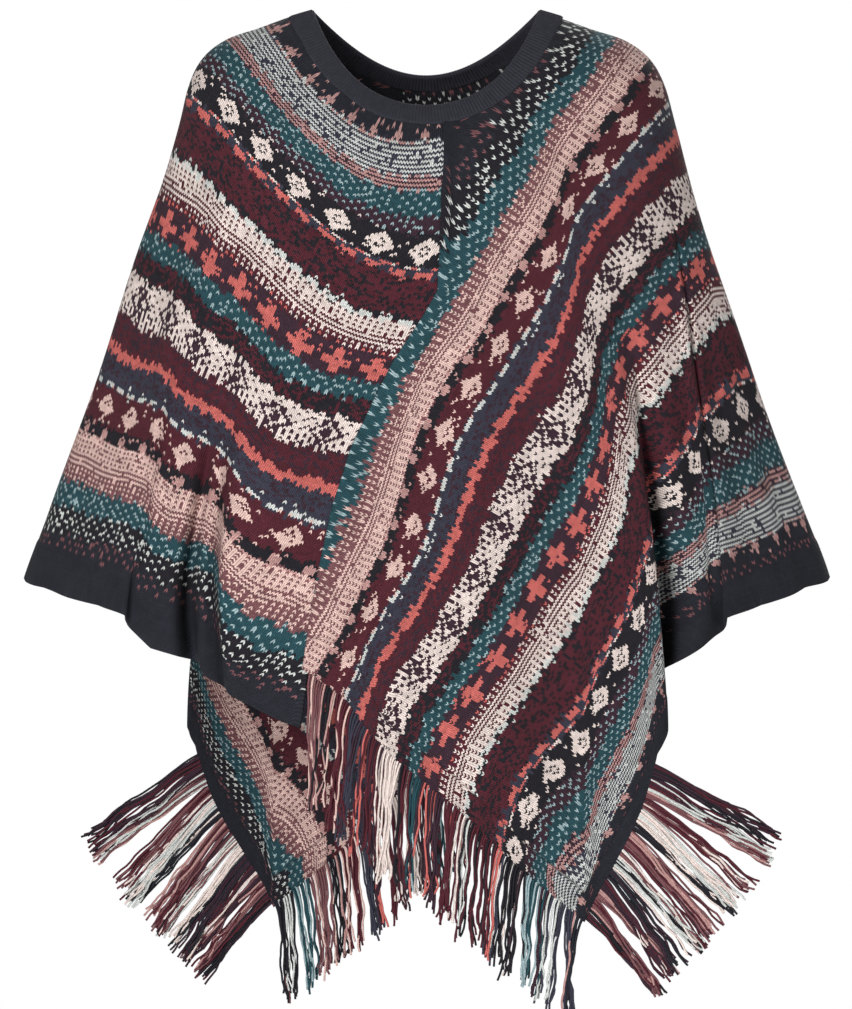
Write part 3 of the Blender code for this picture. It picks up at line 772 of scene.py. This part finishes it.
def knit_material(name):
    """Fine two-colour knitting: every stitch takes its colour from the bands' chart."""
    made = bpy.data.materials.new(name)
    made.use_nodes = True
    start = Wire(made.node_tree)
    place_along, place_across, _ = start.node("ShaderNodeUVMap", {"uv_map": "knit_place"}).parts()
    wale = place_along / STITCH_WIDTH
    column = wale.floor()
    from_middle = abs(wale - column - 0.5)
    course = place_across / STITCH_HEIGHT + from_middle * (2 * STITCH_SLANT)
    row = course.floor()

    def chance(x, y):
        return start.node("ShaderNodeTexWhiteNoise", {"noise_dimensions": "2D"},
                          {"Vector": start.vector(x, y)})

    ragged = (chance(column, (row / RAGGED_RUN).floor()) * RAGGED_STEP).floor() - 1.0
    looked_up = (row + ragged + 0.5) * (STITCH_HEIGHT / WIDTH)
    steady = (row + 0.5) * (STITCH_HEIGHT / WIDTH)
    starts = [0.0] + [band.end for band in BANDS[:-1]]

    def chart(lookup, colours):
        stops = [(begin / WIDTH, colour) for begin, colour in zip(starts, colours)]
        return start.node("ShaderNodeValToRGB", {"stops": stops}, {0: lookup})

    ground = chart(looked_up, [band.ground for band in BANDS])
    figure = chart(looked_up, [band.figure for band in BANDS])
    facts = []
    for begin, band in zip(starts, BANDS):
        middle = (begin + band.end) / 2 / WIDTH
        half_rows = (band.end - begin) / 2 / STITCH_HEIGHT
        facts.append((middle, band.motif / CHART_SCALE, band.repeat / CHART_SCALE, half_rows / CHART_SCALE))
    rules = chart(steady, facts)
    middle, motif, repeat = rules.parts()
    half_rows = Wire(start.tree, rules.socket.node.outputs["Alpha"]) * CHART_SCALE
    motif = motif * CHART_SCALE
    repeat = repeat * CHART_SCALE
    height = row + 0.5 - middle * (WIDTH / STITCH_HEIGHT)
    sideways = abs(column % repeat - repeat * 0.5)
    spread = sideways * (STITCH_WIDTH / STITCH_HEIGHT) + abs(height)
    ring_size = half_rows - 1.5
    row_pair = row % 2.0
    staggered = column + (row / 2.0).floor() % 2.0 * 2.0
    grain = chance(column, row)

    # Each motif's sizes are in stitches and rows, from the middle of its repeat and of its band.
    masks = {
        LOZENGES: (spread < ring_size) - (spread < ring_size * 0.42) + (spread < 1.6),
        RINGED: (spread < ring_size) * (spread > ring_size - 2.6) + (spread < ring_size * 0.4)
        + (spread > ring_size) * (staggered % 4.0 < 1.0) * (row_pair < 1.0)
        + (height < half_rows * -0.4) * (row_pair > 0.5) * (staggered % 2.0 < 1.0),
        DOTS: (staggered % 4.0 < 1.0) * (row_pair < 1.0),
        ROWS: (row_pair < 1.0) * (grain > 0.03),
        CROSSES: (abs(height) < 1.6) * (sideways < 4.2) + (abs(height) > 1.6) * (sideways < 1.2)
        * (abs(height) < 5.0),
        TRIANGLES: spread < half_rows * 0.5 + height * 0.2 + 0.6,
        BLOCKS: ((column + (row / 4.0).floor() % 2.0 * 4.0) % 8.0 < 5.0) * (row % 4.0 < 3.0),
        DASHES: (column % 6.0 < 4.0) * (abs(height) < 1.4),
        FLECKS: grain > 0.62,
        GRADED: (height < half_rows * -0.35) * (staggered % 2.0 < 1.0) * (row_pair < 1.0)
        + (height > half_rows * -0.35) * (row_pair < 1.0)
        + (height > half_rows * 0.25) * (row_pair > 0.5) * ((column + row) % 2.0 < 1.0),
    }
    figured = None
    for kind, mask in masks.items():
        chosen = start.math("COMPARE", motif, float(kind), 0.5) * mask
        figured = chosen if figured is None else figured + chosen
    figured = abs(start.math("MINIMUM", figured, 1.0) - (grain > STRAY))
    colour = start.mix(figured, ground, figure)

    # The dye changes slowly along the rows and from stitch to stitch; the gaps between stitches get painted
    # shade.
    dye = start.node("ShaderNodeTexNoise", {"noise_dimensions": "2D"},
                     {"Vector": start.vector(place_along, place_across * 3.0), "Scale": 26.0, "Detail": 2.0})
    leg = start.math("SINE", from_middle * (2 * math.pi))
    loop = start.math("SINE", (course - row) * math.pi)
    relief = leg * (0.35 + 0.65 * loop)
    light = (0.78 + 0.44 * dye) * (0.80 + 0.26 * chance(row, column) + 0.10 * chance(row, 7.0))
    # Painted shade: darker where the stitch's relief is low, in the gaps between stitches.
    light = light * (0.46 + 0.66 * relief) * YARN_DEPTH
    return matt(made, colour.scaled(light), relief, strength=0.75, depth=0.0009)


left_places = pleated(knit_places())
right_places = left_places * (1.0, -1.0) + (0.0, WIDTH)  # the same knitting, turned round
strip_left, left_edge, left_outward = strip_shell(
    "strip_left_cloth", 0.0, knit_material("banded_knit_left"), left_places)
strip_right, right_edge, right_outward = strip_shell(
    "strip_right_cloth", 180.0, knit_material("banded_knit_right"), right_places)
for strip, node in ((strip_left, "strip_left"), (strip_right, "strip_right")):
    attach(strip, "root")
    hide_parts(node)

# The fringes: the knitting's own yarns left long at a strip's end, in the colours of the bands they run on
# from, and bunches of dyed yarn looped through the turned edge beside the corner. They hang in loose clumps.
STRAND_RADIUS = 0.00105
TIP_THINNER = 0.35
STRAND_SEGMENTS = 22
STRAND_SIDES = 5
STRAND_TURN = 0.10  # share of a strand in which it turns from the cloth's way to its own
STRAND_WAVE = 0.017  # how far its tip may stray
STRAND_WAVES = 3.6  # how often it changes its way
STRAY_GROWTH = 0.8  # power of the share run at which it strays
GATHER_TURN = 2.4  # radians of the sine that draws a bunch together and apart again
ROOT_STRAY = 0.0008  # to either side of its even place
ROOT_DEPTH = 0.0009  # from the cloth's middle to either face
END_FREE = 0.002  # of the edge, beyond the last strand
BUNCH_STRAY = 0.12  # of a bunch, in which strands belong to either
BUNCH_LEAN = 0.10
STRAND_LEAN = 0.05
CLOTH_WAY = (1.0, 0.35, 1.0)  # how much of the cloth's way strands keep: to the side, to the front, down
LENGTHS = (0.90, 1.03)  # of the shortest and longest strand beside its drop
GATHERED = (0.2, 0.7)  # how much of the way to its bunch's middle
BUNCH_PHASE = 3.1
STRAND_PHASE = 1.5
DYE_STRAY = 0.004  # how far from its own place a strand's band may be
FIGURE_SHARE = 0.32  # of the strands have their band's second colour
SIDE_FRINGE_END_DEG = 46.3

# Each kind of fringe: its strands and bunches, their length and droop at the stretch's start and end, and the
# edge left free before them. The end fringe keeps clear of the other strip's corner.
Fringe = namedtuple("Fringe", "strands bunches drop droop free")
END_FRINGE = Fringe(204, 34, (0.114, 0.094), (9.0, 9.0), 0.008)
SIDE_FRINGE = Fringe(184, 15, (0.096, 0.130), (0.72, 0.28), 0.003)
SIDE_DYES = ((INK, BURGUNDY, PLUM), (RUST, BURGUNDY, ROSE), (RUST, PLUM, ROSE), (CREAM, PLUM, BURGUNDY),
             (INK, PLUM, CHARCOAL), (CREAM, PEARL, INK), (CREAM, PEARL, RUST), (BURGUNDY, RUST, PLUM),
             (ROSE, BURGUNDY, RUST), (INK, CHARCOAL, CREAM), (PEARL, CREAM, PEARL), (RUST, BURGUNDY, CREAM),
             (ROSE, PEARL, RUST), (PLUM, BURGUNDY, PEARL), (BURGUNDY, PLUM, INK))  # from the corner up


def start_tree(name, kinds):
    """The start of a new node tree, and its named inputs of these kinds."""
    tree = bpy.data.node_groups.new(name, "GeometryNodeTree")
    for key, kind in kinds.items():
        tree.interface.new_socket(key, in_out="INPUT", socket_type=f"NodeSocket{kind}")
    tree.interface.new_socket("Result", in_out="OUTPUT", socket_type="NodeSocketGeometry")
    given = tree.nodes.new("NodeGroupInput")
    return Wire(tree), {key: Wire(tree, given.outputs[key]) for key in kinds}


def end_tree(result, finish):
    """The node tree, ended by giving its result a material."""
    result = result.node("GeometryNodeSetMaterial", inputs={"Geometry": result, "Material": finish})
    result.tree.links.new(result.socket, result.tree.nodes.new("NodeGroupOutput").inputs[0])
    return result.tree


def kept(start, name, kind="FLOAT"):
    """What each point carries under a name."""
    return start.node("GeometryNodeInputNamedAttribute", {"data_type": kind}, {"Name": name})


def strand_tree():
    """Turns root points with their own headings, drops and dyes into curved, slightly waving strands."""
    start, given = start_tree("strands", {
        "Roots": "Geometry", "Segments": "Int", "Radius": "Float", "Sides": "Int", "Wave": "Float",
        "Waves": "Float", "Turn": "Float", "Finish": "Material"})

    def vectors(operation, *values):
        return start.node("ShaderNodeVectorMath", {"operation": operation}, dict(enumerate(values)))

    position = start.node("GeometryNodeInputPosition")
    line = start.node("GeometryNodeCurvePrimitiveLine", inputs={"End": (0.0, 0.0, 1.0)})
    line = start.node("GeometryNodeResampleCurve", inputs={"Curve": line, "Count": given["Segments"]})
    line = start.node("GeometryNodeStoreNamedAttribute", {"data_type": "FLOAT", "domain": "POINT"},
                      {"Geometry": line, "Name": "share", "Value": position.parts()[2]})
    roots = start.node("GeometryNodeStoreNamedAttribute", {"data_type": "FLOAT_VECTOR", "domain": "POINT"},
                       {"Geometry": given["Roots"], "Name": "root", "Value": position})
    strands = start.node("GeometryNodeInstanceOnPoints", inputs={"Points": roots, "Instance": line})
    strands = start.node("GeometryNodeRealizeInstances", inputs={"Geometry": strands})
    share = kept(start, "share")
    led = given["Turn"] * (1.0 - start.math("EXPONENT", share * -1.0 / given["Turn"]))
    way = vectors("ADD", kept(start, "heading", "FLOAT_VECTOR").scaled(led),
                  kept(start, "hang", "FLOAT_VECTOR").scaled(share - led))
    where = start.vector(kept(start, "phase"), share * given["Waves"])
    noise = start.node("ShaderNodeTexNoise", {"noise_dimensions": "3D"},
                       {"Vector": where, "Scale": 1.0, "Detail": 1.5}, "Color")
    loose = given["Wave"] * start.math("POWER", share, STRAY_GROWTH)
    stray = vectors("SUBTRACT", noise, (0.5, 0.5, 0.5)).scaled(loose)
    gather = kept(start, "gather", "FLOAT_VECTOR").scaled(start.math("SINE", share * GATHER_TURN))
    fallen = vectors("ADD", kept(start, "root", "FLOAT_VECTOR"), way.scaled(kept(start, "drop")))
    place = vectors("ADD", fallen, vectors("ADD", stray, gather))
    strands = start.node("GeometryNodeSetPosition", inputs={"Geometry": strands, "Position": place})
    width = 1.0 - TIP_THINNER * start.math("POWER", share, 5.0)
    strands = start.node("GeometryNodeSetCurveRadius", inputs={"Curve": strands, "Radius": width})
    ring = start.node("GeometryNodeCurvePrimitiveCircle",
                      inputs={"Resolution": given["Sides"], "Radius": given["Radius"]})
    strands = start.node("GeometryNodeCurveToMesh",
                         inputs={"Curve": strands, "Profile Curve": ring, "Fill Caps": True})
    strands = start.node("GeometryNodeSetShadeSmooth", inputs={0: strands})
    return end_tree(strands, given["Finish"])


def carry(mesh, values):
    """Gives a mesh's points their values under each name."""
    for key, value in values.items():
        value = np.asarray(value, dtype=float)
        kind, field = {1: ("FLOAT", "value"), 3: ("FLOAT_VECTOR", "vector"),
                       4: ("FLOAT_COLOR", "color")}[value.size // len(value)]
        mesh.attributes.new(key, kind, "POINT").data.foreach_set(field, value.ravel())


def grown(name, points, values, tree, settings):
    """A new mesh object: a node tree's result from root points that carry named values."""
    mesh = bpy.data.meshes.new(name)
    mesh.from_pydata(points.tolist(), [], [])
    carry(mesh, values)
    source = bpy.data.objects.new(name, mesh)
    scene.collection.objects.link(source)
    return applied(source, tree, settings)


def applied(source, tree, settings):
    """An object with a node tree's result as its own mesh."""
    modifier = source.modifiers.new("nodes", "NODES")
    modifier.node_group = tree
    for item in tree.interface.items_tree:
        if item.in_out == "INPUT" and item.name in settings:
            modifier[item.identifier] = settings[item.name]
    result = bpy.data.meshes.new_from_object(source.evaluated_get(bpy.context.evaluated_depsgraph_get()))
    source.modifiers.clear()
    source.data = result
    return source


def yarn_material(name):
    """Matt plied yarn in each strand's own dye."""
    made = bpy.data.materials.new(name)
    made.use_nodes = True
    start = Wire(made.node_tree)
    dye = start.node("ShaderNodeAttribute", {"attribute_name": "dye"})
    where = start.node("ShaderNodeTexCoord", output=3)
    grain = start.node("ShaderNodeTexNoise", inputs={"Vector": where, "Scale": 420.0, "Detail": 2.0})
    return matt(made, dye.scaled((0.48 + 0.60 * grain) * YARN_DEPTH), grain, strength=0.5, depth=0.0005)


def fringe(name, kind, edge, outward, dyes_at, seed):
    """Strands hung along a stretch of a strip's lower edge, gathered into loose bunches."""
    chance = np.random.default_rng(seed)
    steps = np.linalg.norm(np.diff(edge, axis=0), axis=1)
    reach = np.concatenate([[0.0], np.cumsum(steps)])
    spots = np.linspace(kind.free, reach[-1] - END_FREE, kind.strands)
    spots = spots + chance.uniform(-ROOT_STRAY, ROOT_STRAY, kind.strands)
    share = (spots - spots[0]) / (spots[-1] - spots[0])

    def at(values):
        return np.stack([np.interp(spots, reach, part) for part in values.T], -1)

    def from_to(ends):
        return ends[0] + (ends[1] - ends[0]) * share

    along = at(unit(np.gradient(edge, axis=0)))
    face = at(outward)
    fall = unit(np.cross(along, face))
    roots = at(edge) + face * np.where(np.arange(kind.strands) % 2 == 0, ROOT_DEPTH, -ROOT_DEPTH)[:, None]
    bunch = share * kind.bunches + chance.uniform(-BUNCH_STRAY, BUNCH_STRAY, kind.strands)
    bunch = bunch.astype(int).clip(0, kind.bunches - 1)
    lean = chance.uniform(-1.0, 1.0, kind.bunches)
    middle = np.stack([roots[bunch == each].mean(axis=0) for each in range(kind.bunches)])
    hang = fall * CLOTH_WAY + np.array([0.0, 0.0, -1.0]) * from_to(kind.droop)[:, None]
    aside = lean[bunch] * BUNCH_LEAN + chance.uniform(-STRAND_LEAN, STRAND_LEAN, kind.strands)
    hang = unit(unit(hang) + along * aside[:, None])
    length = from_to(kind.drop) * chance.uniform(*LENGTHS, kind.strands)
    values = {
        "heading": unit(fall + hang),
        "hang": hang,
        "gather": (middle[bunch] - roots) * chance.uniform(*GATHERED, (kind.strands, 1)),
        "drop": length,
        "phase": bunch * BUNCH_PHASE + chance.uniform(0.0, STRAND_PHASE, kind.strands),
        "dye": dyes_at(share, bunch, chance),
    }
    return grown(name, roots, values, strands_tree, {
        "Segments": STRAND_SEGMENTS, "Radius": STRAND_RADIUS, "Sides": STRAND_SIDES, "Wave": STRAND_WAVE,
        "Waves": STRAND_WAVES, "Turn": STRAND_TURN, "Finish": yarn})


strands_tree = strand_tree()
yarn = yarn_material("fringe_yarn")
corner = int(np.argmin(np.abs(strip_columns() - CORNER_DEG)))
side_end = int(np.argmin(np.abs(strip_columns() - SIDE_FRINGE_END_DEG)))
for node_end, strip, edge, outward, places, seed in (
        ("front", strip_left, left_edge, left_outward, left_places, 11),
        ("back", strip_right, right_edge, right_outward, right_places, 23)):
    across = places[-1, :corner + 1, 1]

    def band_dyes(share, bunch, chance):
        place = np.interp(share, np.linspace(0.0, 1.0, len(across)), across)
        place = place + chance.uniform(-DYE_STRAY, DYE_STRAY, len(share))
        rows = [next(band for band in BANDS if spot < band.end or band is BANDS[-1]) for spot in place]
        return [row.figure if pick < FIGURE_SHARE else row.ground
                for row, pick in zip(rows, chance.uniform(0, 1, len(rows)))]

    def bunch_dyes(share, bunch, chance):
        return [SIDE_DYES[int(each) % len(SIDE_DYES)][int(pick)]
                for each, pick in zip(bunch, chance.integers(0, 3, len(bunch)))]

    for name, kind, stretch, dyes in (
            (f"end_fringe_{node_end}", END_FRINGE, slice(corner + 1), band_dyes),
            (f"side_fringe_{node_end}", SIDE_FRINGE, slice(corner, side_end + 1), bunch_dyes)):
        made = fringe(f"{name}_yarns", kind, edge[stretch], outward[stretch], dyes, seed)
        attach(made, "root")
        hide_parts(name)

# The neckband: one plain charcoal band knitted in fine ribs, folded double over the neck edge and linked to
# both strips. Ribs stand on its two faces and die away over the fold.
BAND_WALL = 0.0030
BAND_RISE = 0.0004  # more, on the outer face
BAND_TOP = 0.04  # level of the fold
BAND_LAP = 0.03  # of a level, over the strips
BAND_TUCK = 0.02  # of a level, by which the inner face ends above the strips' edge
SEAM_DROP = 0.0009  # of the lower rim, below that edge
RIM_SIDES = (-0.4, 0.1, 0.5)  # where the rim's rings lie, in thicknesses outward
DOWN_SMALL = 0.06  # of a level, lower down, where the band's directions are taken
BAND_ROWS = 12
FOLD_POINTS = 7
RIB_COUNT = 250
POINTS_A_RIB = 6
RIB_HEIGHT = 0.0008
RIB_FADE = 0.08  # levels in which ribs grow by their full height
RIB_FADED = 0.25  # share of it that is left at the rim and over the fold
BAND_GIRTH = 0.70
BAND_STITCH = 0.0014
BAND_SLANT = 0.8  # rows that a stitch's legs climb
BAND_ACROSS = 0.02  # of the knitting, for one level


def neckband_mesh(name, finish):
    """The band as a closed loop round the neck, with each point's direction out of it, share round it and
    rib strength."""
    columns = RIB_COUNT * POINTS_A_RIB
    turn = np.linspace(0.0, 360.0, columns, endpoint=False)

    def ring(level):
        return garment(turn, np.full(columns, level)), directions(turn, np.full(columns, level + DOWN_SMALL))

    loops = []  # each ring's points, directions out of the band, rib strength and levels across the band
    for level in np.linspace(FIRST_LEVEL + BAND_LAP, BAND_TOP, BAND_ROWS):
        middle, (_, _, out) = ring(level)
        strength = min(1.0, (FIRST_LEVEL + BAND_LAP - level) / RIB_FADE + RIB_FADED)
        loops.append((middle + out * (BAND_WALL / 2 + BAND_RISE), out, strength, 1.0 - level))
    middle, (_, down, out) = ring(BAND_TOP)
    for bend in np.linspace(0.0, math.pi, FOLD_POINTS + 2)[1:-1]:
        away = out * math.cos(bend) - down * math.sin(bend)
        wall = BAND_WALL / 2 + BAND_RISE * math.cos(bend / 2)
        loops.append((middle + away * wall, away, RIB_FADED, 1.0 + 0.1 * bend))
    for level in np.linspace(BAND_TOP, FIRST_LEVEL - BAND_TUCK, BAND_ROWS):
        middle, (_, _, out) = ring(level)
        loops.append((middle - out * BAND_WALL / 2, -out, 1.0, 1.4 + level))
    middle, (_, down, out) = ring(FIRST_LEVEL)
    for side in RIM_SIDES:
        loops.append((middle + out * BAND_WALL * side + down * SEAM_DROP, down, 0.0, 2.5))
    rings, outs, strengths, heights = zip(*loops)
    count = len(rings)
    grid = np.arange(count * columns).reshape(count, columns)
    below = np.roll(grid, -1, axis=0)
    beside = np.roll(grid, -1, axis=1)
    faces = np.stack([grid, beside, np.roll(below, -1, axis=1), below], -1).reshape(-1, 4)
    made = link_mesh(name, np.concatenate(rings), faces.tolist(), finish)
    round_share = np.tile(turn / 360.0, count)
    across = np.repeat(heights, columns) * BAND_ACROSS
    carry(made.data, {"out": np.concatenate(outs), "turn": round_share,
                      "strength": np.repeat(strengths, columns)})
    flat = at_corners(made, np.stack([round_share * BAND_GIRTH, across], -1)).reshape(-1, 4, 2)
    short = flat[..., 0].max(axis=1, keepdims=True) - flat[..., 0]
    flat[..., 0] += BAND_GIRTH * (short > BAND_GIRTH / 2)
    made.data.uv_layers.new(name="knit_place").data.foreach_set("uv", flat.ravel())
    return made


def rib_tree():
    """Raises a surface into even ribs along its own outward directions."""
    start, given = start_tree("ribs", {
        "Band": "Geometry", "Ribs": "Float", "Height": "Float", "Finish": "Material"})
    wave = abs(start.math("SINE", kept(start, "turn") * given["Ribs"] * math.pi))
    raised = kept(start, "out", "FLOAT_VECTOR").scaled(wave * kept(start, "strength") * given["Height"])
    band = start.node("GeometryNodeSetPosition", inputs={"Geometry": given["Band"], "Offset": raised})
    band = start.node("GeometryNodeRealizeInstances", inputs={"Geometry": band})
    return end_tree(band, given["Finish"])


def plain_knit(name, colour, stitch):
    """Plain fine knitting in one colour, slightly mottled, with painted shade between the stitches."""
    made = bpy.data.materials.new(name)
    made.use_nodes = True
    start = Wire(made.node_tree)
    place_along, place_across, _ = start.node("ShaderNodeUVMap", {"uv_map": "knit_place"}).parts()
    wale = place_along / stitch
    from_middle = abs(wale - wale.floor() - 0.5)
    course = place_across / stitch + from_middle * (2 * BAND_SLANT)
    loop = start.math("SINE", (course - course.floor()) * math.pi)
    mottle = start.node("ShaderNodeTexNoise", {"noise_dimensions": "2D"},
                        {"Vector": start.vector(place_along, place_across), "Scale": 160.0, "Detail": 3.0})
    chip = start.node("ShaderNodeRGB")
    chip.socket.default_value = colour
    # Painted shade: darker between the stitches' loops, where the loop is low.
    shaded = chip.scaled((0.70 + 0.35 * loop) * (0.75 + 0.5 * mottle) * YARN_DEPTH)
    return matt(made, shaded, loop, strength=0.5, depth=0.0005)


charcoal_rib = plain_knit("ribbed_charcoal", shade(45, 45, 53), BAND_STITCH)
neckband = applied(neckband_mesh("neckband_ribbed", charcoal_rib), rib_tree(),
                   {"Ribs": float(RIB_COUNT), "Height": RIB_HEIGHT, "Finish": charcoal_rib})
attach(neckband, "root")
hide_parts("neckband")
